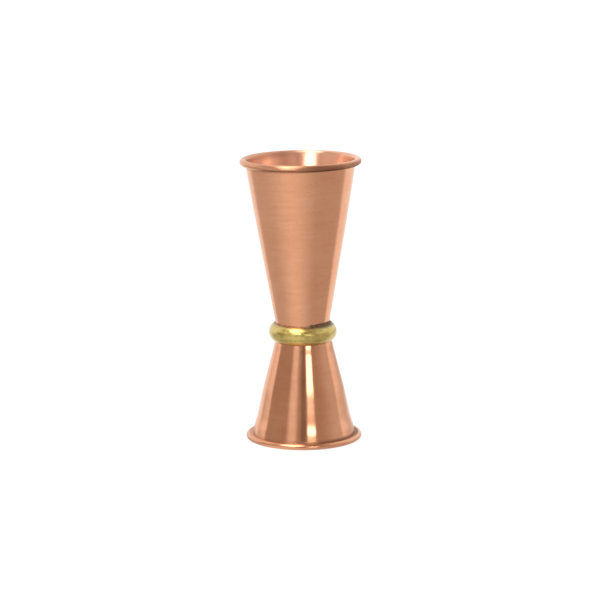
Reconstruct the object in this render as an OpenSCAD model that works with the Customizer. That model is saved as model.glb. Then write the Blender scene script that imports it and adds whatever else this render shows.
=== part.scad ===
// Double-ended bar jigger: two spun copper measuring cups of different
// size, soldered floor to floor and banded at the waist by a half-round
// brass ring.  All sizes are in millimetres.
//
// The jigger stands on the mouth of its small cup.  +Z points up along the
// common axis, and the origin is the centre of that lower mouth.

/* [Sheet metal] */
// Thickness of the copper sheet that both cups are spun from
sheet_t = 0.6; // [0.4:0.05:0.8]
// Width of the flat worn on the rim, which the jigger stands on
rim_land_w = 0.6; // [0.2:0.1:1]
// Outside radius of the bend between the floor and wall of each cup
floor_bend_r = 3; // [1.5:0.25:5]

/* [Large cup] */
// Height of the large cup from the underside of its floor to its rim
large_cup_h = 72.7; // [56:0.1:95]
// Outside diameter of the large cup's wall beside the centre of its curl
large_mouth_d = 45.7; // [38:0.1:54]
// Outside diameter of the large cup's cone, carried on to floor level
large_waist_d = 21.1; // [18:0.1:25]
// Outside diameter of the hollow curl rolled round the large cup's mouth
large_curl_d = 2.75; // [2.2:0.05:4]
// How much wider than the curl the large cup's lip is bent
large_lip_ease = 0.08; // [0:0.02:1]

/* [Small cup] */
// Height of the small cup from the underside of its floor to its rim
small_cup_h = 45.1; // [36:0.1:60]
// Outside diameter of the small cup's wall beside the centre of its curl
small_mouth_d = 43.3; // [36:0.1:51]
// Outside diameter of the small cup's cone, carried on to floor level
small_waist_d = 21.7; // [18:0.1:26]
// Outside diameter of the hollow curl rolled round the small cup's mouth
small_curl_d = 2.3; // [1.9:0.05:4]
// How much wider than the curl the small cup's lip is bent
small_lip_ease = 1; // [0:0.02:1.2]

/* [Waist ring] */
// Height of the brass ring
ring_h = 7.4; // [6:0.1:10]
// Thickness of the ring at mid-height, where it is fullest
ring_t = 2.35; // [1.2:0.05:3]
// Thickness of the ring at its upper and lower edges
ring_edge_t = 0.3; // [0.1:0.05:0.6]

/* [Solder] */
// Thickness of the solder that joins the two floors
floor_solder_t = 0.2; // [0.1:0.05:0.4]
// Height that the solder climbs the large cup above the ring
large_solder_leg = 1.3; // [0.4:0.1:3]
// Depth that the same solder runs down behind the ring
large_solder_depth = 0.8; // [0.2:0.1:1.2]
// Length that the solder runs down the small cup below the ring
small_solder_leg = 0.5; // [0.2:0.1:1.5]
// Width of each solder fillet where it meets the ring's edge
solder_foot = 0.25; // [0.1:0.05:0.6]
// Gap between round faces that touch, which keeps the pieces separate
seat_gap = 0.02; // [0.01:0.01:0.05]

/* [Hidden] */
// Widest turn between two points of a bend, in degrees
bend_step = 12;
// Gap between the cut edge of the curl and the wall it is rolled back to
curl_end_gap = 0.08;
$fn = 96;

copper = "#cb9067";
brass = "#b39b4b";
solder = "#5f4838";

// Slope of each cup's wall, in degrees from the axis
function wall_angle(cup_h, mouth_d, waist_d, curl_d) =
    atan2((mouth_d - waist_d) / 2, cup_h - curl_d / 2);
large_angle = wall_angle(large_cup_h, large_mouth_d, large_waist_d,
                         large_curl_d);
small_angle = wall_angle(small_cup_h, small_mouth_d, small_waist_d,
                         small_curl_d);

// Outside radius of a cup's wall at a height above the cup's own floor
function wall_r(h, waist_d, angle) = waist_d / 2 + h * tan(angle);

// Centre of the bend between the floor and the wall
function floor_bend_x(waist_d, angle) =
    wall_r(floor_bend_r, waist_d, angle) - floor_bend_r / cos(angle);

// The joint is the middle of the solder between the floors
joint_z = small_cup_h + floor_solder_t / 2;
overall_h = joint_z + floor_solder_t / 2 + large_cup_h;
// Height from either floor to the ring's edge beyond it
ring_edge_h = (ring_h - floor_solder_t) / 2;
large_wall_at_ring = wall_r(ring_edge_h, large_waist_d, large_angle);
small_wall_at_ring = wall_r(ring_edge_h, small_waist_d, small_angle);
// The ring slides over both cups' floor ends and stops on the wider one
ring_bore_r = max(large_wall_at_ring, small_wall_at_ring) + seat_gap;
ring_r = ring_bore_r + ring_t;
floor_solder_r = min(floor_bend_x(large_waist_d, large_angle),
                     floor_bend_x(small_waist_d, small_angle));

// Points along an arc, from one angle to the other
function arc(centre, r, from_a, to_a) =
    let (steps = ceil(abs(to_a - from_a) / bend_step))
    [for (i = [0 : steps])
        let (a = from_a + (to_a - from_a) * i / steps)
        centre + r * [cos(a), sin(a)]];

// The same arc without its first point, to follow one that ends there
function arc_on(centre, r, from_a, to_a) =
    let (points = arc(centre, r, from_a, to_a))
    [for (i = [1 : len(points) - 1]) points[i]];

// Half section of one cup, floor down: a flat floor, a bend, a straight
// wall, and a lip that turns outwards and rolls back to the wall
module cup_section(cup_h, waist_d, angle, curl_d, lip_ease) {
    curl_r = curl_d / 2;
    lip_r = curl_r - sheet_t / 2 + lip_ease;
    // The flat on the rim is cut across the curl just below its top
    top = cup_h + curl_r - sqrt(curl_r * curl_r - rim_land_w * rim_land_w / 4);
    bend = [floor_bend_x(waist_d, angle), floor_bend_r];
    lip_y = top - sheet_t / 2 - lip_r;
    wall_mid = wall_r(lip_y, waist_d, angle) - sheet_t / 2 / cos(angle);
    lip = [wall_mid + lip_r / cos(angle), lip_y];
    curl = [lip[0], top - curl_r];
    // Square-on distance from the curl's centre to the wall's outside
    reach = (curl[0] - wall_r(curl[1], waist_d, angle)) * cos(angle);
    // The curl's outer face meets the wall here, turning clockwise
    meets = acos(min(1, reach / curl_r)) - 180 - angle;
    end_turn = meets + curl_end_gap / curl_r * 180 / PI;
    intersection() {
        square([ring_r + large_mouth_d + small_mouth_d, cup_h]);
        polygon(concat(
            [[0, 0]],
            arc(bend, floor_bend_r, -90, -angle),
            arc(lip, lip_r - sheet_t / 2, 180 - angle, 90),
            arc_on(curl, curl_r - sheet_t, 90, end_turn),
            arc(curl, curl_r, end_turn, 90),
            arc_on(lip, lip_r + sheet_t / 2, 90, 180 - angle),
            arc(bend, floor_bend_r - sheet_t, -angle, -90),
            [[0, sheet_t]]
        ));
    }
}

module large_cup() {
    color(copper)
    translate([0, 0, joint_z + floor_solder_t / 2])
    rotate_extrude()
    cup_section(large_cup_h, large_waist_d, large_angle, large_curl_d,
                large_lip_ease);
}

module small_cup() {
    color(copper)
    translate([0, 0, joint_z - floor_solder_t / 2])
    mirror([0, 0, 1])
    rotate_extrude()
    cup_section(small_cup_h, small_waist_d, small_angle, small_curl_d,
                small_lip_ease);
}

// Half-round band with a straight bore and a narrow flat at each edge
module waist_ring() {
    crown = ring_t - ring_edge_t;
    crown_r = (crown * crown + ring_h * ring_h / 4) / (2 * crown);
    color(brass)
    translate([0, 0, joint_z])
    rotate_extrude()
    intersection() {
        translate([ring_r - crown_r, 0])
        circle(r = crown_r);
        translate([ring_bore_r, -ring_h / 2])
        square([ring_t, ring_h]);
    }
}

// Thin disc between the flat parts of the two floors
module floor_solder() {
    color(solder)
    translate([0, 0, joint_z - floor_solder_t / 2])
    cylinder(h = floor_solder_t, r = floor_solder_r);
}

// Fillet between a cup's wall and an edge of the ring.  Heights here are
// counted from the ring's edge, away from the joint.  Where the cup is
// narrower than the ring's bore, the solder also fills that gap.
module ring_solder_section(wall_at_ring, angle, leg, depth) {
    leg_r = wall_at_ring + leg * tan(angle) + seat_gap;
    foot_r = max(ring_bore_r, leg_r) + solder_foot;
    inner_r = wall_at_ring + seat_gap;
    behind_r = wall_at_ring - depth * tan(angle) + seat_gap;
    polygon(concat(
        [[leg_r, leg]],
        depth > 0
            ? [[behind_r, -depth], [ring_bore_r - seat_gap, -depth],
               [ring_bore_r - seat_gap, seat_gap]]
            : [[inner_r, seat_gap]],
        [[foot_r, seat_gap]]
    ));
}

module large_cup_solder() {
    // A gap as narrow as the seat itself takes no solder
    gap_open = ring_bore_r - large_wall_at_ring > 4 * seat_gap;
    color(solder)
    translate([0, 0, joint_z + ring_h / 2])
    rotate_extrude()
    ring_solder_section(large_wall_at_ring, large_angle, large_solder_leg,
                        gap_open ? large_solder_depth : 0);
}

module small_cup_solder() {
    color(solder)
    translate([0, 0, joint_z - ring_h / 2])
    mirror([0, 0, 1])
    rotate_extrude()
    ring_solder_section(small_wall_at_ring, small_angle, small_solder_leg, 0);
}

large_cup();
small_cup();
waist_ring();
floor_solder();
large_cup_solder();
small_cup_solder();
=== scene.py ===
"""Looks for the bar jigger: spun copper cups, a brass waist ring and dark solder,
on a white floor in a soft studio.

Everything is in metres in the part's own frame: +Z up, origin at the centre of
the lower mouth.  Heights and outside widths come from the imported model; the
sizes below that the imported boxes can't give repeat the part's own dimensions.
"""

from math import asin, atan2, ceil, cos, degrees, exp, pi, radians, sin, sqrt, tan, tanh

import bpy
from mathutils import Matrix, Vector


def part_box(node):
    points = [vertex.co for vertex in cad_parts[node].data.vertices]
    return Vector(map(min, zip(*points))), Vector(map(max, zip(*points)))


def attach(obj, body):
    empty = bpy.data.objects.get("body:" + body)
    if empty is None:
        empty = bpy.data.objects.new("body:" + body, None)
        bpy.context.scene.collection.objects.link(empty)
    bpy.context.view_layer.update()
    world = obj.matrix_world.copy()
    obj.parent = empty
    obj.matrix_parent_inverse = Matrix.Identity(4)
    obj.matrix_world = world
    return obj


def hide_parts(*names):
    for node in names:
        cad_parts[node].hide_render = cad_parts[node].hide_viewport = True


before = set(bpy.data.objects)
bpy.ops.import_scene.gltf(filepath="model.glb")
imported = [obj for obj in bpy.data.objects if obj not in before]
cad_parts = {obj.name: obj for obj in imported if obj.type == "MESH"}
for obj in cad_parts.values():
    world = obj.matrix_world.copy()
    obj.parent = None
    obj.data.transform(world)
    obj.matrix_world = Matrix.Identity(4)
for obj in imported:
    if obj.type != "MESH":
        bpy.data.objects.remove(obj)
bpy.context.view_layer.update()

MM = 0.001

# ---------------------------------------------------------------- dimensions

SHEET = 0.6 * MM  # thickness of the copper
LARGE_CURL_R = 1.375 * MM  # outside radius of the large cup's rolled rim
SMALL_CURL_R = 1.15 * MM  # and of the small cup's
FLOOR_BEND_R = 3.0 * MM  # outside radius between floor and wall
RIM_LAND_W = 0.6 * MM  # flat on each rim
LARGE_WAIST_R = 10.55 * MM  # large cone carried on to its floor
SMALL_WAIST_R = 10.85 * MM  # small cone carried on to its floor
LARGE_LIP_EASE = 0.08 * MM  # how much softer than the curl each lip is
SMALL_LIP_EASE = 1.0 * MM
RING_EDGE_T = 0.3 * MM  # thickness of the ring at its edges
SEAT_GAP = 0.02 * MM  # gap between round faces that touch
LARGE_CREASE_R = 0.5 * MM  # radius burnished between wall and curl
SMALL_CREASE_R = 0.35 * MM
AROUND = 288  # points round every turned piece
WALL_POINTS = 56  # points along each face of a cup's wall
FLOOR_POINTS = 8  # and of its floor

large_lo, large_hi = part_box("large_cup")
small_lo, small_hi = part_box("small_cup")
ring_lo, ring_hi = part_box("waist_ring")

JOINT_Z = (large_lo.z + small_hi.z) / 2
OVERALL_H = large_hi.z
RING_H = ring_hi.z - ring_lo.z


# --------------------------------------------------------------- turned shapes


def arc(centre, radius, start, end, step=6.0):
    """Points (r, z) along an arc, angles in degrees from +r towards +z."""
    count = max(2, ceil(abs(end - start) / step))
    points = []
    for i in range(count + 1):
        a = radians(start + (end - start) * i / count)
        points.append((centre[0] + radius * cos(a), centre[1] + radius * sin(a)))
    return points


def straight(a, b, count):
    """Points strictly between a and b."""
    steps = [(i + 1) / (count + 1) for i in range(count)]
    return [(a[0] + (b[0] - a[0]) * s, a[1] + (b[1] - a[1]) * s) for s in steps]


def flatten(points, top):
    """Lowers whatever stands above the top, which leaves a flat land."""
    return [(r, min(z, top)) for r, z in points]


class CupShape:
    """The half section of one cup, floor down, heights from its own floor."""

    def __init__(self, height, rim_r, waist_r, curl_r, lip_ease):
        self.height = height
        self.waist_r = waist_r
        self.curl_r = curl_r
        curl_mid = curl_r - SHEET / 2
        land_drop = curl_r - sqrt(curl_r**2 - RIM_LAND_W**2 / 4)
        top = height + land_drop
        self.lip_r = curl_mid + lip_ease
        self.lip = (rim_r - curl_r, top - SHEET / 2 - self.lip_r)
        self.curl = (rim_r - curl_r, top - curl_r)
        # The wall is the line from the waist that runs tangent to the lip.  The
        # search starts from a likely slope and settles in a few rounds.
        angle = 0.2
        for _ in range(30):
            touch = self.lip[0] - (self.lip_r - SHEET / 2) / cos(angle)
            angle = atan2(touch - waist_r, self.lip[1])
        self.angle = angle
        self.slope = tan(angle)
        self.bend = (self.wall(FLOOR_BEND_R) - FLOOR_BEND_R / cos(angle), FLOOR_BEND_R)

    def wall(self, z):
        """Outside radius of the wall at a height above the floor."""
        return self.waist_r + z * self.slope

    def section(self, crease_r):
        """The closed outline, with the crease under the curl burnished to a radius."""
        a = degrees(self.angle)
        outer_bend = arc(self.bend, FLOOR_BEND_R, -90, -a)
        lip_top = arc(self.lip, self.lip_r + SHEET / 2, 90, 180 - a)
        inner_bend = arc(self.bend, FLOOR_BEND_R - SHEET, -a, -90)
        # The crease's centre is crease_r off the wall and off the curl.
        low, high = self.curl[1] - self.curl_r - 2 * crease_r, self.curl[1]
        for _ in range(40):
            z = (low + high) / 2
            r = self.wall(z) + crease_r / cos(self.angle)
            away = sqrt((r - self.curl[0]) ** 2 + (z - self.curl[1]) ** 2)
            if away > self.curl_r + crease_r:
                low = z
            else:
                high = z
        meets = degrees(atan2(self.curl[1] - z, self.curl[0] - r))
        crease = arc((r, z), crease_r, 180 - a, meets, 9.0)
        curl = arc(self.curl, self.curl_r, meets - 180, 90)
        floor_out = straight((0, 0), outer_bend[0], FLOOR_POINTS)
        floor_in = straight(inner_bend[-1], (0, SHEET), FLOOR_POINTS)
        wall_out = straight(outer_bend[-1], crease[0], WALL_POINTS)
        wall_in = straight(lip_top[-1], inner_bend[0], WALL_POINTS)
        outline = [(0, 0)] + floor_out + outer_bend + wall_out + crease
        outline += curl[1:] + lip_top[1:]
        outline += wall_in + inner_bend + floor_in + [(0, SHEET)]
        return flatten(outline, self.height)


ON_AXIS = 1e-7  # points nearer the axis than this are poles


def link_mesh(name, verts, faces, sharp):
    """Makes a smooth-shaded piece, with edges kept where faces turn past sharp."""
    mesh = bpy.data.meshes.new(name)
    mesh.from_pydata(verts, [], faces)
    mesh.validate()
    mesh.shade_smooth()
    mesh.set_sharp_from_angle(angle=radians(sharp))
    obj = bpy.data.objects.new(name, mesh)
    bpy.context.scene.collection.objects.link(obj)
    return obj


def turned(name, outline, place):
    """Spins a closed half section into a mesh.

    place(r, z, azimuth) gives the point's final position, so that a piece can
    be a little out of true.  Points on the axis become single poles.
    """
    verts = []
    rings = []
    for r, z in outline:
        if r < ON_AXIS:
            rings.append([len(verts)])
            verts.append(place(0.0, z, 0.0))
            continue
        rings.append(list(range(len(verts), len(verts) + AROUND)))
        for i in range(AROUND):
            verts.append(place(r, z, 2 * pi * i / AROUND))
    faces = []
    count = len(rings)
    for k in range(count):
        low, high = rings[k], rings[(k + 1) % count]
        if len(low) == 1 and len(high) == 1:
            continue
        for i in range(AROUND):
            j = (i + 1) % AROUND
            if len(low) == 1:
                faces.append((low[0], high[j], high[i]))
            elif len(high) == 1:
                faces.append((low[i], low[j], high[0]))
            else:
                faces.append((low[i], low[j], high[j], high[i]))
    return link_mesh(name, verts, faces, 50)


# ------------------------------------------------------------- shader helpers


class Graph:
    """Short calls for building a node tree."""

    def __init__(self, tree):
        self.tree = tree
        tree.nodes.clear()

    def add(self, kind, inputs=None, **settings):
        node = self.tree.nodes.new(kind)
        for key, value in settings.items():
            setattr(node, key, value)
        for key, value in (inputs or {}).items():
            self.set(node.inputs[key], value)
        return node

    def set(self, socket, value):
        if isinstance(value, bpy.types.NodeSocket):
            self.tree.links.new(value, socket)
        else:
            socket.default_value = value

    def math(self, operation, a, b=0.0, clamp=False):
        inputs = {0: a, 1: b}
        node = self.add("ShaderNodeMath", inputs, operation=operation, use_clamp=clamp)
        return node.outputs[0]

    def product(self, *factors):
        total = factors[0]
        for factor in factors[1:]:
            total = self.math("MULTIPLY", total, factor)
        return total

    def total(self, *terms):
        result = terms[0]
        for term in terms[1:]:
            result = self.math("ADD", result, term)
        return result

    def ramp(self, value, from_lo, from_hi, to_lo=0.0, to_hi=1.0):
        """Maps a value smoothly from one range to another, held at the ends."""
        node = self.add(
            "ShaderNodeMapRange",
            {0: value, 1: from_lo, 2: from_hi, 3: to_lo, 4: to_hi},
            interpolation_type="SMOOTHSTEP",
        )
        return node.outputs[0]

    def mix(self, factor, a, b):
        node = self.add("ShaderNodeMix", data_type="RGBA")
        self.set(node.inputs[0], factor)
        self.set(node.inputs[6], a)
        self.set(node.inputs[7], b)
        return node.outputs[2]

    def blend_value(self, factor, a, b):
        node = self.add("ShaderNodeMix", {0: factor, 2: a, 3: b}, data_type="FLOAT")
        return node.outputs[0]

    def noise(self, vector, scale, detail, roughness):
        node = self.add(
            "ShaderNodeTexNoise",
            {"Vector": vector, "Scale": scale, "Detail": detail, "Roughness": roughness},
        )
        return node.outputs["Fac"]


def rgb(r, g, b):
    return (r, g, b, 1.0)


def new_material(name):
    material = bpy.data.materials.new(name)
    material.use_nodes = True
    return material, Graph(material.node_tree)


def object_place(g):
    """The place on the part, in metres."""
    return g.add("ShaderNodeTexCoord").outputs["Object"]


def split_place(g):
    """The place across the axis as a flat vector, and the height along it."""
    x, y, z = g.add("ShaderNodeSeparateXYZ", {0: object_place(g)}).outputs
    return g.add("ShaderNodeCombineXYZ", {0: x, 1: y}).outputs[0], z


def length(g, flat):
    return g.add("ShaderNodeVectorMath", {0: flat}, operation="LENGTH").outputs["Value"]


def unit(g, flat):
    return g.add("ShaderNodeVectorMath", {0: flat}, operation="NORMALIZE").outputs[0]


def agreement(g, a, b):
    """The cosine of the angle between two unit vectors."""
    node = g.add("ShaderNodeVectorMath", {0: a, 1: b}, operation="DOT_PRODUCT")
    return node.outputs["Value"]


def turned_coordinates(g, around, along):
    """Object coordinates unrolled round the axis, without a seam.

    around is how many noise cells fit across the unit circle, along is how many
    fit in a metre of height or radius.
    """
    flat, z = split_place(g)
    scaled = {0: unit(g, flat), "Scale": around}
    ring = g.add("ShaderNodeVectorMath", scaled, operation="SCALE").outputs[0]
    rise = g.total(g.product(z, along), g.product(length(g, flat), along))
    lift = g.add("ShaderNodeCombineXYZ", {2: rise}).outputs[0]
    return g.add("ShaderNodeVectorMath", {0: ring, 1: lift}, operation="ADD").outputs[0]


def near_circle(g, radius, height, width):
    """1 at a circle round the axis, falling to 0 at a distance of width."""
    flat, z = split_place(g)
    dr = g.math("SUBTRACT", length(g, flat), radius)
    dz = g.math("SUBTRACT", z, height)
    reach = g.math("SQRT", g.total(g.product(dr, dr), g.product(dz, dz)))
    return g.ramp(reach, width, width * 0.2)


def toward(g, direction, low, high):
    """Rises from 0 to 1 as the place turns round the axis towards a direction.

    low and high are the cosines of the angle where it starts and is complete.
    """
    flat, _ = split_place(g)
    way = (cos(direction), sin(direction), 0.0)
    return g.ramp(agreement(g, unit(g, flat), way), low, high)


def inward(g):
    """1 where a surface faces the axis, as inside a cup, and 0 outside."""
    flat, _ = split_place(g)
    normal = g.add("ShaderNodeTexCoord").outputs["Normal"]
    return g.ramp(agreement(g, unit(g, flat), normal), 0.1, -0.7)


def noise_bump(g, strength, depth, height, under=None):
    """A relief from a pattern; depth is the full height of it in metres."""
    inputs = {"Strength": strength, "Distance": depth, "Height": height}
    if under is not None:
        inputs["Normal"] = under
    return g.add("ShaderNodeBump", inputs).outputs[0]


def metal(g, inputs):
    """Ends a material with one metal shader."""
    shader = g.add("ShaderNodeBsdfPrincipled", inputs)
    g.add("ShaderNodeOutputMaterial", {0: shader.outputs[0]})


# ------------------------------------------------------------------ materials

# The copper's painted crease shade and the ring's darkened edge are strongest on this side
# too, and the solder is coloured darkest here.
SOLDER_AND_SHADE_SIDE = radians(-33)  # where the solder ran thickest, towards the front right

PALE_COPPER = rgb(0.90, 0.445, 0.262)
DEEP_COPPER = rgb(0.85, 0.395, 0.220)
GROOVE_COPPER = rgb(0.78, 0.345, 0.185)
# Paler copper painted on the inside faces, a painted light.
PAINTED_PALE_INSIDE_COPPER = rgb(0.88, 0.54, 0.40)
# Darker copper on the rolled rims: partly handling wear, partly painted shade.
DULL_AND_SHADED_COPPER = rgb(0.52, 0.235, 0.125)
# Brown for real tarnish specks and for painted shade in the creases.
TARNISH_AND_SHADE_BROWN = rgb(0.20, 0.085, 0.040)
BRIGHT_BRASS = rgb(0.76, 0.565, 0.175)
DEEP_BRASS = rgb(0.62, 0.455, 0.125)
PATCH_BRASS = rgb(0.50, 0.375, 0.095)
SPECK_BRASS = rgb(0.36, 0.25, 0.07)
# Dark brown on the ring's upper edge: partly flux stain, partly painted shade.
FLUX_STAIN_AND_SHADE = rgb(0.16, 0.10, 0.055)


def spun_copper(name, roughness, rim, creases):
    """Copper turned and polished round its axis, with a little tarnish.

    rim is the (radius, height, reach) of the rolled edge, dulled by handling and also
    painted darker as painted shade.  creases lists (radius, height, width, strength)
    circles of painted shade in brown, patchy and darkest towards the front right.
    The inside faces are painted paler, against the deeper orange of light bouncing inside.
    """
    material, g = new_material(name)
    place = object_place(g)
    lines = g.noise(turned_coordinates(g, 5.0, 5200.0), 1.0, 3.0, 0.6)
    bands = g.noise(turned_coordinates(g, 1.3, 620.0), 1.0, 2.0, 0.5)
    clouds = g.noise(place, 95.0, 3.0, 0.55)
    dents = g.noise(place, 60.0, 1.0, 0.5)
    specks = g.noise(place, 1500.0, 2.0, 0.6)
    inside = inward(g)
    dulled_and_shaded = near_circle(g, *rim)

    tone = g.ramp(g.total(g.product(clouds, 0.6), g.product(bands, 0.4)), 0.32, 0.68)
    colour = g.mix(tone, DEEP_COPPER, PALE_COPPER)
    colour = g.mix(g.product(g.ramp(lines, 0.35, 0.65), 0.12), colour, GROOVE_COPPER)
    # Painted light: the inside faces are painted paler, against the deeper orange that light
    # bouncing inside the cup gives.
    colour = g.mix(g.product(inside, 0.55), colour, PAINTED_PALE_INSIDE_COPPER)
    # The rolled rim is painted darker: partly handling wear, partly painted shade.
    colour = g.mix(g.product(dulled_and_shaded, 0.40), colour, DULL_AND_SHADED_COPPER)
    # Painted shade: brown circles in the creases and on the large curl, patchy and darkest
    # towards the front right.
    painted_crease_shade = 0.0
    shade_side = g.total(0.4, g.product(toward(g, SOLDER_AND_SHADE_SIDE, 0.1, 0.9), 0.6))
    patchy = g.ramp(clouds, 0.25, 0.6, 0.65, 1.0)
    for radius, height, width, strength in creases:
        ring = near_circle(g, radius, height, width)
        painted_crease_shade = g.math("MAXIMUM", painted_crease_shade, g.product(ring, patchy, shade_side, strength))
    spots = g.product(g.ramp(specks, 0.60, 0.75), g.blend_value(inside, 0.25, 0.05))
    # One brown serves both the painted crease shade and the real tarnish specks.
    colour = g.mix(g.math("MAXIMUM", painted_crease_shade, spots), colour, TARNISH_AND_SHADE_BROWN)

    rough = g.total(roughness, g.product(g.math("SUBTRACT", clouds, 0.5), 0.08))
    rough = g.total(rough, g.product(inside, 0.11), g.product(dulled_and_shaded, 0.15))
    rough = g.math("ADD", rough, g.product(painted_crease_shade, 0.35), clamp=True)
    turning = g.total(lines, g.product(bands, 1.5))
    grooves = noise_bump(g, g.blend_value(inside, 0.12, 0.02), 0.02 * MM, turning)
    metal(g, {
        "Base Color": colour,
        "Metallic": 1.0,
        "Roughness": rough,
        "Anisotropic": 0.70,
        "Anisotropic Rotation": 0.25,
        "Normal": noise_bump(g, 1.0, 0.05 * MM, dents, grooves),
        "Tangent": g.add("ShaderNodeTangent", direction_type="RADIAL", axis="Z").outputs[0],
    })
    return material


def old_brass(name, edge_r, edge_z):
    """Yellow brass, polished by hand and gone slightly dull.

    edge_r and edge_z place the upper edge, darkened in patches: partly a flux stain, partly
    painted shade where the ring meets the cup.
    """
    material, g = new_material(name)
    place = object_place(g)
    clouds = g.noise(place, 420.0, 3.0, 0.55)
    specks = g.noise(place, 2200.0, 2.0, 0.6)
    patches = g.noise(place, 210.0, 1.0, 0.5)
    lines = g.noise(turned_coordinates(g, 9.0, 3800.0), 1.0, 2.0, 0.5)
    colour = g.mix(g.ramp(clouds, 0.35, 0.65), DEEP_BRASS, BRIGHT_BRASS)
    colour = g.mix(g.ramp(patches, 0.50, 0.70), colour, PATCH_BRASS)
    colour = g.mix(g.product(g.ramp(specks, 0.55, 0.75), 0.16), colour, SPECK_BRASS)
    # The upper edge is darkened, most towards the front right: partly flux stain, partly
    # painted shade at the joint.
    edge = near_circle(g, edge_r, edge_z, 1.5 * MM)
    soldered = g.total(0.35, g.product(toward(g, SOLDER_AND_SHADE_SIDE, 0.2, 0.8), 0.5))
    stain_and_shade = g.product(edge, g.ramp(clouds, 0.2, 0.55, 0.6, 1.0), soldered)
    height = g.total(g.product(clouds, 3.0), lines)
    metal(g, {
        "Base Color": g.mix(stain_and_shade, colour, FLUX_STAIN_AND_SHADE),
        "Metallic": 1.0,
        "Roughness": g.total(g.ramp(clouds, 0.3, 0.7, 0.26, 0.35), g.product(stain_and_shade, 0.3)),
        "Normal": noise_bump(g, 0.12, 0.03 * MM, height),
        "Coat Weight": 0.6,
        "Coat Roughness": 0.14,
    })
    return material


def tarnished_solder(name):
    """Solder gone dark brown, dull and a little lumpy, darker towards the front right and
    paler elsewhere.
    """
    material, g = new_material(name)
    clouds = g.noise(object_place(g), 900.0, 4.0, 0.6)
    tone = g.ramp(clouds, 0.35, 0.7)
    pale_solder = g.mix(tone, rgb(0.34, 0.19, 0.11), rgb(0.50, 0.29, 0.18))
    dark_solder = g.mix(tone, rgb(0.11, 0.057, 0.030), rgb(0.23, 0.130, 0.070))
    metal(g, {
        "Base Color": g.mix(toward(g, SOLDER_AND_SHADE_SIDE, 0.62, 0.82), pale_solder, dark_solder),
        "Metallic": 0.7,
        "Roughness": g.ramp(clouds, 0.3, 0.7, 0.42, 0.62),
        "Normal": noise_bump(g, 0.5, 0.1 * MM, clouds),
    })
    return material


# --------------------------------------------------------------------- pieces


def cup_shape(low, high, *sizes):
    """The section of a cup whose packed box runs from low to high."""
    return CupShape(high.z - low.z, high.x, *sizes)


large = cup_shape(large_lo, large_hi, LARGE_WAIST_R, LARGE_CURL_R, LARGE_LIP_EASE)
small = cup_shape(small_lo, small_hi, SMALL_WAIST_R, SMALL_CURL_R, SMALL_LIP_EASE)

# The ring slides over both cups and stops on the wider one.
FLOOR_GAP = (large_lo.z - small_hi.z) / 2  # from the joint to either floor
LARGE_WALL_AT_RING = large.wall(RING_H / 2 - FLOOR_GAP)
SMALL_WALL_AT_RING = small.wall(RING_H / 2 - FLOOR_GAP)
RING_BORE_R = max(LARGE_WALL_AT_RING, SMALL_WALL_AT_RING) + SEAT_GAP

OUT_OF_ROUND = 0.05 * MM  # how far each mouth is from a true circle
LARGE_TURN = 0.6  # which way each mouth is widest, in radians
SMALL_TURN = 2.1
LARGE_LEAN = radians(0.45)  # the cups aren't quite in line
SMALL_LEAN = radians(-0.10)
LARGE_SHIFT = -0.22 * MM  # how far each piece stands to the side of the axis
SMALL_SHIFT = 0.17 * MM
RING_SHIFT = -0.15 * MM
LARGE_SWELL = 0.2 * MM  # how far the large cup's wall bows out
STEEP_LOW = 8.5 * MM  # height of a steeper band left in the small cup's wall
STEEP_HIGH = 21.5 * MM
STEEP_SLOPE = 0.045  # how much steeper it is than the rest
STEEP_ROUND = 1.5 * MM  # how far its corners are rounded each way
FLARE = 0.12 * MM  # slight flare of the same wall above the rim
FLARE_Z = 5.5 * MM
FLARE_SPREAD = 2.6 * MM
TOOL_STEP = 0.05 * MM  # half the height of a faint step that the tool left in it
TOOL_STEP_Z = 38.8 * MM
TOOL_STEP_SPREAD = 0.8 * MM
RING_LUMP = 0.03 * MM  # unevenness of the ring's crown


def wobble(share, azimuth, turn):
    """Hand-worked unevenness, nothing at the waist and full at the mouth."""
    oval = cos(2 * (azimuth - turn))
    lump = 0.35 * sin(3 * azimuth + 1.7 * turn + 2.0 * share)
    return OUT_OF_ROUND * share * share * (oval + lump)


def place_large(r, z, azimuth):
    share = z / large.height
    if r > FLOOR_BEND_R:
        r += wobble(share, azimuth, LARGE_TURN) + LARGE_SWELL * sin(pi * share**1.5)
    across = r * cos(azimuth)
    x = across * cos(LARGE_LEAN) - z * sin(LARGE_LEAN) + LARGE_SHIFT
    height = large_lo.z + z * cos(LARGE_LEAN)
    return (x, r * sin(azimuth), height + across * sin(LARGE_LEAN))


def spun_band(height):
    """How far the steeper band puts the small cup's wall off a straight cone."""
    steep = min(max(height, STEEP_LOW), STEEP_HIGH) - STEEP_LOW
    gained = STEEP_SLOPE * (STEEP_HIGH - STEEP_LOW)
    lost = gained * height / small.height
    return STEEP_SLOPE * steep - lost


def small_profile(height):
    """The band with rounded corners, the flare above the rim and the tool's step."""
    band = sum(spun_band(height + STEEP_ROUND * k) for k in (-1, -0.5, 0, 0.5, 1)) / 5
    flare = FLARE * exp(-(((height - FLARE_Z) / FLARE_SPREAD) ** 2))
    step = TOOL_STEP * tanh((height - TOOL_STEP_Z) / TOOL_STEP_SPREAD)
    return band + flare + step


def place_small(r, z, azimuth):
    """Stands the small cup on its mouth, turned over so that its faces stay outward."""
    share = z / small.height
    if r > FLOOR_BEND_R:
        r += wobble(share, azimuth, SMALL_TURN) + small_profile(small.height - z)
    x = r * cos(-azimuth) + sin(SMALL_LEAN) * z + SMALL_SHIFT
    return (x, r * sin(-azimuth), small_hi.z - z)


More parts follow.
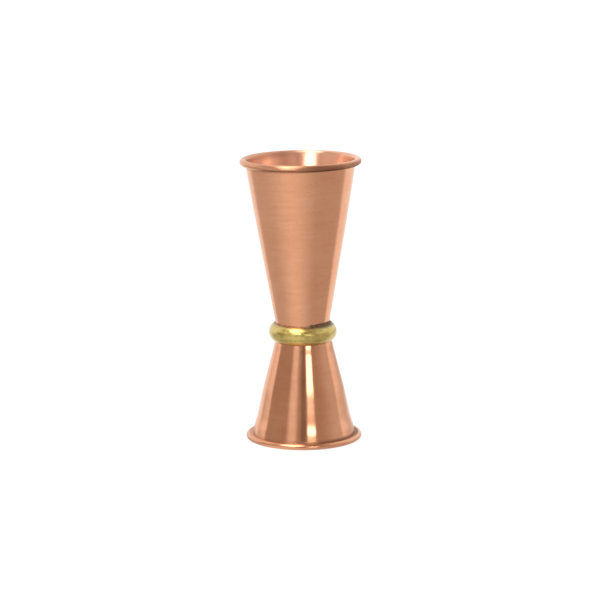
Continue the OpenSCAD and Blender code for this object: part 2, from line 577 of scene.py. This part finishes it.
def ring_section():
    """A straight bore, a flat at each edge and a round crown between them."""
    outer = ring_hi.x
    half = RING_H / 2
    crown = outer - RING_BORE_R - RING_EDGE_T
    radius = (crown**2 + half**2) / (2 * crown)
    spread = degrees(asin(half / radius))
    crown_points = arc((outer - radius, 0), radius, -spread, spread, 3.0)
    bore_points = straight((RING_BORE_R, half), (RING_BORE_R, -half), 6)
    return [(RING_BORE_R, -half)] + crown_points + [(RING_BORE_R, half)] + bore_points


def place_ring(r, z, azimuth):
    if r > RING_BORE_R + RING_EDGE_T:
        r += RING_LUMP * sin(5 * azimuth + 1.0)
    return (r * cos(azimuth) + RING_SHIFT, r * sin(azimuth), JOINT_Z + z)


def solder_leg(azimuth, low, high, full_at):
    """Height of a fillet: solder ran further up on one side than on the other."""
    turn = min(1.0, max(0.0, (cos(azimuth - full_at) - 0.62) / 0.2))
    eased = turn * turn * (3 - 2 * turn)
    ripple = 0.08 * sin(7 * azimuth) + 0.05 * sin(13 * azimuth + 1.0)
    return low + (high - low) * min(1.0, max(0.0, eased * (1 - abs(ripple)) + ripple))


def fillet(name, wall_r, slope, edge_z, up, low, high, full_at, foot, shift):
    """A hollow-faced solder fillet between a cup's wall and the ring's edge.

    shift is how far the cup stands to the side of the axis; the foot follows
    the ring.
    """
    steps = 10
    verts, faces = [], []
    loop = steps + 2
    for i in range(AROUND):
        azimuth = 2 * pi * i / AROUND
        leg = solder_leg(azimuth, low, high, full_at)
        width = foot * (0.8 + 0.2 * leg / high)
        column = [(wall_r + SEAT_GAP, 0.0, shift)]
        for k in range(steps + 1):
            t = k / steps
            # Height falls off quickly along the wall, then spreads on the ring.
            h = leg * (1 - t) ** 1.8
            r = wall_r + slope * h + SEAT_GAP + width * t**1.3
            column.append((r, h, shift * (1 - t) + RING_SHIFT * t))
        for r, h, side in column:
            z = edge_z + up * (h + SEAT_GAP)
            verts.append((r * cos(azimuth) + side, r * sin(azimuth), z))
    for i in range(AROUND):
        j = (i + 1) % AROUND
        for k in range(loop):
            n = (k + 1) % loop
            quad = (i * loop + k, j * loop + k, j * loop + n, i * loop + n)
            faces.append(quad if up > 0 else quad[::-1])
    return link_mesh(name, verts, faces, 60)


FOOT = 0.3 * MM  # width of each fillet on the ring
UNDER_SIDE = radians(-100)  # where the lower fillet is thickest, near the front

large_copper = turned("large_cup_spun", large.section(LARGE_CREASE_R), place_large)
small_copper = turned("small_cup_spun", small.section(SMALL_CREASE_R), place_small)
ring_brass = turned("waist_ring_polished", ring_section(), place_ring)
upper_fillet = fillet(
    "large_cup_solder_fillet",
    wall_r=LARGE_WALL_AT_RING, slope=large.slope, edge_z=ring_hi.z, up=1,
    low=0.25 * MM, high=1.25 * MM, full_at=SOLDER_AND_SHADE_SIDE,
    foot=RING_BORE_R - LARGE_WALL_AT_RING + FOOT, shift=LARGE_SHIFT,
)
lower_fillet = fillet(
    "small_cup_solder_fillet",
    wall_r=SMALL_WALL_AT_RING, slope=small.slope, edge_z=ring_lo.z, up=-1,
    low=0.15 * MM, high=0.4 * MM, full_at=UNDER_SIDE, foot=FOOT, shift=SMALL_SHIFT,
)

# Within this reach the rim is dulled and also painted darker, partly handling wear and partly
# painted shade.
DULL_REACH = 1.6  # how far from the curl's centre it is dulled, in curl radii
# Each circle of painted shade below is radius, height, width and strength.  The large cup's
# first lies in the crease under its curl and its second on the curl's outer face; the small
# cup's lies in the crease between its wall and curl.
large_curl_x, large_curl_z = large.curl[0], large_lo.z + large.curl[1]
small_curl_x, small_curl_z = small.curl[0], small_hi.z - small.curl[1]
large_rim = (large_curl_x, large_curl_z, DULL_REACH * LARGE_CURL_R)
small_rim = (small_curl_x, small_curl_z, DULL_REACH * SMALL_CURL_R)
large_creases = [
    (large_curl_x + 0.3 * MM, large_curl_z - 1.3 * MM, 2.1 * MM, 1.0),
    (large_curl_x + 1.1 * MM, large_curl_z + 0.2 * MM, 2.0 * MM, 0.65),
]
small_creases = [(small_curl_x - 1.0 * MM, small_curl_z + 1.2 * MM, 1.6 * MM, 0.85)]
LARGE_ROUGHNESS = 0.19
SMALL_ROUGHNESS = 0.155  # the small cup is polished a little brighter
large_finish = spun_copper("copper_large_cup", LARGE_ROUGHNESS, large_rim, large_creases)
small_finish = spun_copper("copper_small_cup", SMALL_ROUGHNESS, small_rim, small_creases)
brass_finish = old_brass("brass_waist_ring", RING_BORE_R + RING_EDGE_T, ring_hi.z)
solder_finish = tarnished_solder("solder_dark")

for piece, finish, node, slot in (
    (large_copper, large_finish, "large_cup", "copper"),
    (small_copper, small_finish, "small_cup", "copper"),
    (ring_brass, brass_finish, "waist_ring", "brass_ring"),
    (upper_fillet, solder_finish, "large_cup_solder", "solder"),
    (lower_fillet, solder_finish, "small_cup_solder", "solder"),
):
    piece.data.materials.append(finish)
    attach(piece, "root")
    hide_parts(node)

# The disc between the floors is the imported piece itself.
inner_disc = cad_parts["floor_solder"]
inner_disc.data.materials.clear()
inner_disc.data.materials.append(solder_finish)

# --------------------------------------------------------------------- studio
#
# Angles here are in degrees.  Turn is the azimuth as the camera faces the part,
# and rise is the height above the horizon.  Levels are how bright the metal
# sees each part of the room, where 1 is the white of the background.

WHITE = rgb(1, 1, 1)
WARM_SHADE = rgb(1.0, 0.86, 0.76)
SWEEP_FROM, SWEEP_FULL = 97, 103  # turn either way where the white sweep begins
SWEEP_LEVEL = 1.0
ROOM_LEFT, ROOM_RIGHT = 0.41, 0.62
PALE_CARD, DARK_CARD = 0.84, 0.20
LAMP_LEVEL = 5.0
CEILING_LEVEL = 0.45
SOFTBOX_LEVEL = 4.2
TABLE_LEFT, TABLE_RIGHT = 0.61, 0.55
TABLE_FRONT = 0.88  # the brightest part of the table, left of the camera
TABLE_SHADE = 0.62  # the object's own shadow on the table, behind it
TABLE_UNDER = 0.25  # close under the object
OVERHEAD = 90
BELOW_HORIZON = -5  # where the cards of the room start, hidden by the table


def panel(g, turn, rise, onto, level, az, half, soft, low, high, blur):
    """Lays a soft-edged patch of one level over a level that varies by direction."""
    off = g.math("ABSOLUTE", g.math("SUBTRACT", turn, az))
    across = g.ramp(off, half + soft, half - soft)
    under = g.ramp(rise, low - blur, low + blur)
    over = g.ramp(rise, high + blur, high - blur)
    mask = g.math("MULTIPLY", across, g.math("MULTIPLY", under, over))
    return g.blend_value(mask, onto, level)


def card(g, turn, rise, onto, level, az, half, soft):
    """A tall card that stands on the table and reaches overhead."""
    return panel(
        g, turn, rise, onto, level, az, half, soft,
        low=BELOW_HORIZON, high=OVERHEAD, blur=5,
    )


def softbox(g, direction):
    """1 in a slanted softbox overhead, laid out on a plane one metre up."""
    x, y, z = g.add("ShaderNodeSeparateXYZ", {0: direction}).outputs
    up = g.math("MAXIMUM", z, 0.01)
    across = g.math("DIVIDE", x, up)
    along = g.math("DIVIDE", y, up)
    slanted = g.math("SUBTRACT", across, g.product(along, 0.62))
    sides = g.product(g.ramp(slanted, -0.48, -0.40), g.ramp(across, 0.02, -0.06))
    ends = g.product(g.ramp(along, -0.85, -0.72), g.ramp(along, 0.7, 0.5))
    return g.product(sides, ends)


def compass(g, vector):
    """Azimuth (0 faces the camera side, +90 is to the right) and height."""
    x, y, z = g.add("ShaderNodeSeparateXYZ", {0: vector}).outputs
    turn = g.math("MULTIPLY", g.math("ARCTAN2", x, g.math("MULTIPLY", y, -1.0)), 180 / pi)
    return turn, z


def studio_world():
    """What the metal sees of the room, the white sweep and the table."""
    world = bpy.data.worlds.new("studio")
    bpy.context.scene.world = world
    world.use_nodes = True
    g = Graph(world.node_tree)
    direction = g.add("ShaderNodeTexCoord").outputs["Generated"]
    turn, z = compass(g, direction)
    rise = g.math("MULTIPLY", g.math("ARCSINE", z), 180 / pi)
    swing = g.math("ABSOLUTE", turn)

    # The room in front of the object: a pale card, a dark one and a low lamp on
    # the right.
    room = g.blend_value(g.ramp(turn, 30, 95), ROOM_LEFT, ROOM_RIGHT)
    room = card(g, turn, rise, room, level=PALE_CARD, az=-29, half=10, soft=6)
    room = card(g, turn, rise, room, level=DARK_CARD, az=-1, half=7, soft=4)
    room = panel(
        g, turn, rise, room, level=LAMP_LEVEL, az=18.5, half=9.5, soft=1.5,
        low=14.1, high=26, blur=0.6,
    )
    # The white sweep behind it, and a dim ceiling with one softbox.
    sky = g.blend_value(g.ramp(swing, SWEEP_FROM, SWEEP_FULL), room, SWEEP_LEVEL)
    sky = g.blend_value(g.ramp(rise, 58, 70), sky, CEILING_LEVEL)
    sky = g.blend_value(softbox(g, direction), sky, SOFTBOX_LEVEL)
    # The table: brightest to the left of the camera, dark under the object.
    hump = g.ramp(g.math("ABSOLUTE", g.math("ADD", turn, 22)), 68, 0)
    table = g.blend_value(g.ramp(turn, -40, 60), TABLE_LEFT, TABLE_RIGHT)
    table = g.blend_value(hump, table, TABLE_FRONT)
    behind = g.math("MAXIMUM", g.ramp(turn, 108, 118), g.ramp(turn, -127, -137))
    table = g.blend_value(behind, table, SWEEP_LEVEL)
    table = panel(
        g, turn, rise, table, level=TABLE_SHADE, az=128, half=28, soft=4,
        low=-7, high=5, blur=2,
    )
    table = g.blend_value(g.ramp(rise, -38, -54), table, TABLE_UNDER)
    light = g.blend_value(g.ramp(rise, -3, 3), table, sky)

    # The dim parts of the room are a little warm.  The camera sees plain white.
    dim = g.ramp(light, 0.64, 0.40)
    seen = g.add("ShaderNodeLightPath").outputs["Is Camera Ray"]
    colour = g.mix(seen, g.mix(dim, WHITE, WARM_SHADE), WHITE)
    strength = g.blend_value(seen, light, 1.0)
    back = g.add("ShaderNodeBackground", {"Color": colour, "Strength": strength})
    g.add("ShaderNodeOutputWorld", {0: back.outputs[0]})


def stage_piece(name, verts, faces):
    mesh = bpy.data.meshes.new(name)
    mesh.from_pydata(verts, [], faces)
    obj = bpy.data.objects.new(name, mesh)
    bpy.context.scene.collection.objects.link(obj)
    return obj


def glowing_paper(obj, material_name, paint):
    """Makes a piece of the stage glow, seen by nothing but the metal.

    paint(g, turn, z) gives its level by azimuth and height.
    """
    material, g = new_material(material_name)
    turn, z = compass(g, object_place(g))
    glow = g.add("ShaderNodeEmission", {"Color": WHITE, "Strength": paint(g, turn, z)})
    g.add("ShaderNodeOutputMaterial", {0: glow.outputs[0]})
    obj.data.materials.append(material)
    obj.visible_camera = False
    obj.visible_diffuse = False
    obj.visible_shadow = False


TENT_R = 0.28
TENT_SKIRT_R = 0.20
TENT_LOW = 0.15
TENT_HIGH = 0.245
TENT_SIDES = 96


def light_tent():
    """A paper band hung round the object, with a bright window at the front left.

    It is hung so high that its flat skirt hides it from everything below the
    upper rim.  The camera looks in through it.
    """
    profile = ((TENT_SKIRT_R, TENT_LOW), (TENT_R, TENT_LOW), (TENT_R, TENT_HIGH))
    verts, faces = [], []
    for i in range(TENT_SIDES):
        a = 2 * pi * i / TENT_SIDES
        for r, z in profile:
            verts.append((r * cos(a), r * sin(a), z))
    for i in range(TENT_SIDES):
        j = (i + 1) % TENT_SIDES
        for k in (0, 1):
            faces.append((3 * i + k, 3 * j + k, 3 * j + k + 1, 3 * i + k + 1))

    def paint(g, turn, z):
        swing = g.math("ABSOLUTE", turn)
        front = g.blend_value(g.ramp(turn, -10, 10), 1.15, 1.0)
        level = g.blend_value(g.ramp(swing, 38, 62), 0.42, front)
        level = panel(
            g, turn, z, level, level=9.0, az=-22, half=12, soft=2,
            low=TENT_LOW + 1 * MM, high=1, blur=0.5 * MM,
        )
        return g.blend_value(g.ramp(swing, SWEEP_FROM, SWEEP_FULL), level, SWEEP_LEVEL)

    glowing_paper(stage_piece("light_tent", verts, faces), "tent_paper", paint)


GLOW_R = 0.045
GLOW_DROP = 0.01 * MM  # it lies just under the foot and over the floor
GLOW_SIDES = 64


def table_glow():
    """The bright paper close round the foot, as the metal reflects it."""
    verts = []
    for i in range(GLOW_SIDES):
        a = 2 * pi * i / GLOW_SIDES
        verts.append((GLOW_R * cos(a), GLOW_R * sin(a), -GLOW_DROP))

    def paint(g, turn, z):
        # The patch is flat, so low and high only have to lie either side of it.
        return panel(
            g, turn, z, 0.62, level=0.95, az=-26, half=24, soft=22,
            low=-1, high=1, blur=0.01,
        )

    disc = stage_piece("table_glow", verts, [tuple(range(GLOW_SIDES))])
    glowing_paper(disc, "table_glow_paper", paint)


FLOOR_REACH = 6.0
FLOOR_DROP = 0.02 * MM


def floor_plane():
    """White paper that takes a soft shadow.  The metal sees the world's table instead."""
    reach = FLOOR_REACH
    corners = [(-reach, -reach, 0), (reach, -reach, 0), (reach, reach, 0), (-reach, reach, 0)]
    floor = stage_piece("floor", corners, [(0, 1, 2, 3)])
    floor.location.z = -FLOOR_DROP
    material, g = new_material("floor_white")
    paper = g.add("ShaderNodeBsdfDiffuse", {"Color": rgb(0.30, 0.30, 0.30)})
    glow = g.add("ShaderNodeEmission", {"Color": WHITE, "Strength": 0.76})
    both = g.add("ShaderNodeAddShader", {0: paper.outputs[0], 1: glow.outputs[0]})
    plain = g.add("ShaderNodeBsdfDiffuse", {"Color": rgb(0.8, 0.8, 0.8)})
    seen = g.add("ShaderNodeLightPath").outputs["Is Camera Ray"]
    pick = g.add("ShaderNodeMixShader", {0: seen, 1: plain.outputs[0], 2: both.outputs[0]})
    g.add("ShaderNodeOutputMaterial", {0: pick.outputs[0]})
    floor.data.materials.append(material)
    floor.visible_glossy = False


CAMERA_DISTANCE = 1.05
CAMERA_RISE = radians(11.1)
CAMERA_ROLL = radians(0.30)
CAMERA_SHIFT = (-0.0050, -0.0024)
LENS_MM = 151.5
SENSOR_MM = 36.0
CLIP_START = 0.01


def camera():
    data = bpy.data.cameras.new("camera")
    data.lens = LENS_MM
    data.sensor_width = SENSOR_MM
    data.shift_x, data.shift_y = CAMERA_SHIFT
    data.clip_start = CLIP_START
    obj = bpy.data.objects.new("camera", data)
    bpy.context.scene.collection.objects.link(obj)
    aim = Vector((0, 0, OVERALL_H / 2))
    back = Vector((0, -cos(CAMERA_RISE), sin(CAMERA_RISE)))
    stand = Matrix.Translation(aim + back * CAMERA_DISTANCE)
    tilt = back.to_track_quat("Z", "Y").to_matrix().to_4x4()
    obj.matrix_world = stand @ tilt @ Matrix.Rotation(-CAMERA_ROLL, 4, "Z")
    bpy.context.scene.camera = obj


studio_world()
light_tent()
table_glow()
floor_plane()
camera()
bpy.context.scene.view_settings.view_transform = "Standard"
